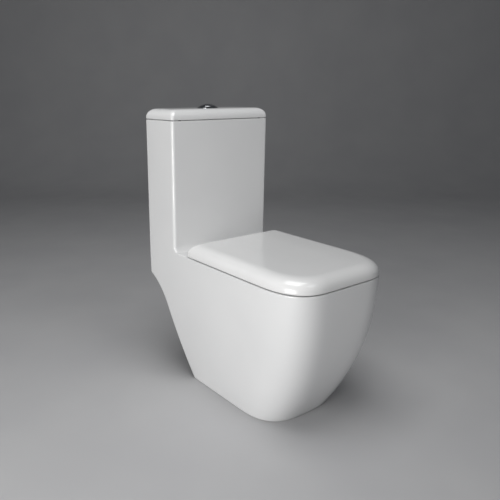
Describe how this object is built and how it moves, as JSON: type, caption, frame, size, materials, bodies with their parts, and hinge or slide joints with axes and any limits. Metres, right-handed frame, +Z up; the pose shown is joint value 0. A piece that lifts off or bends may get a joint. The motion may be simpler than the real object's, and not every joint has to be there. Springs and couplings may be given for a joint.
{
  "type": "close coupled toilet",
  "caption": "One-piece floor-standing toilet: glazed ceramic pan with integral cistern, lift-off cistern lid, dual-flush dome button and wrap-over soft-close seat.",
  "frame": {"origin": "on the floor, under the middle of the bounding box", "axes": "+Z up; +Y towards the wall behind; the front of the pan is at -Y; X across, symmetric about x = 0 outside"},
  "size_m": [0.36, 0.67, 0.8438],
  "materials": {
    "white_glaze": "gloss glaze",
    "seat_plastic": "gloss thermoset, white",
    "chrome": "polished",
    "steel": "plain stainless",
    "grey_plastic": "moulded, light grey",
    "blue_plastic": "moulded, blue",
    "black_rubber": "moulded"
  },
  "bodies": {
    "pan": {"ceramic_body": "white_glaze", "hinge_post_left": "chrome", "hinge_post_right": "chrome", "hinge_pins": "steel", "hinge_bolts": "steel", "hinge_washers": "black_rubber", "hinge_wing_nuts": "grey_plastic", "flush_valve_body": "grey_plastic", "flush_valve_gasket": "black_rubber", "flush_valve_nut": "grey_plastic", "fill_valve_body": "grey_plastic", "fill_valve_washer": "black_rubber", "fill_valve_nut": "grey_plastic", "fill_valve_head": "grey_plastic"},
    "seat": {"seat_ring": "seat_plastic", "seat_buffers": "seat_plastic", "seat_damper": "blue_plastic", "seat_sleeve": "grey_plastic"},
    "lid": {"seat_lid": "seat_plastic", "lid_buffers": "seat_plastic", "lid_damper": "blue_plastic", "lid_sleeve": "grey_plastic"},
    "cistern_top": {"cistern_lid": "white_glaze", "cistern_lid_pads": "black_rubber", "button_bezel": "chrome", "button_nut": "grey_plastic", "full_button_spring": "steel", "half_button_spring": "steel"},
    "full_button": {"full_flush_button": "chrome", "full_push_rod": "steel"},
    "half_button": {"half_flush_button": "chrome", "half_push_rod": "steel"},
    "full_pusher": {"full_tappet": "blue_plastic"},
    "half_pusher": {"half_tappet": "grey_plastic"},
    "flush_seal": {"overflow_tube": "blue_plastic", "seal_washer": "black_rubber"},
    "float": {"float_cup": "grey_plastic", "float_rod": "steel"},
    "float_lever": {"fill_valve_lever": "blue_plastic"}
  },
  "joints": [
    {"name": "seat_hinge", "type": "hinge", "parent": "pan", "child": "seat", "pos_m": [0, 0.106, 0.436], "axis": [-1, 0, 0], "range_deg": [0, 95]},
    {"name": "lid_hinge", "type": "hinge", "parent": "seat", "child": "lid", "pos_m": [0, 0.106, 0.436], "axis": [1, 0, 0], "range_deg": [-97, 0]},
    {"name": "cistern_lid_lift", "type": "slide", "parent": "pan", "child": "cistern_top", "axis": [0, 0, 1], "range_m": [0, 0.12]},
    {"name": "full_flush_press", "type": "slide", "parent": "cistern_top", "child": "full_button", "axis": [0, 0, -1], "range_m": [0, 0.006], "stiffness_N_per_m": 600, "springref_m": -0.01, "deforming": ["full_button_spring"]},
    {"name": "half_flush_press", "type": "slide", "parent": "cistern_top", "child": "half_button", "axis": [0, 0, -1], "range_m": [0, 0.006], "stiffness_N_per_m": 600, "springref_m": -0.01, "deforming": ["half_button_spring"]},
    {"name": "full_tappet_slide", "type": "slide", "parent": "pan", "child": "full_pusher", "axis": [0, 0, -1], "range_m": [0, 0.006]},
    {"name": "half_tappet_slide", "type": "slide", "parent": "pan", "child": "half_pusher", "axis": [0, 0, -1], "range_m": [0, 0.006]},
    {"name": "seal_lift", "type": "slide", "parent": "pan", "child": "flush_seal", "axis": [0, 0, 1], "range_m": [0, 0.012]},
    {"name": "float_rise", "type": "slide", "parent": "pan", "child": "float", "axis": [0, 0, 1], "range_m": [0, 0.012]},
    {"name": "lever_tilt", "type": "hinge", "parent": "pan", "child": "float_lever", "pos_m": [-0.143, 0.2595, 0.729], "axis": [0, -1, 0], "range_deg": [0, 16]}
  ],
  "couplings": [
    {"joint": "full_tappet_slide", "follows": "full_flush_press", "ratio": 1},
    {"joint": "half_tappet_slide", "follows": "half_flush_press", "ratio": 1},
    {"joint": "seal_lift", "follows": "full_flush_press", "ratio": 2},
    {"joint": "lever_tilt", "follows": "float_rise", "rad_per_m": 22.2}
  ]
}
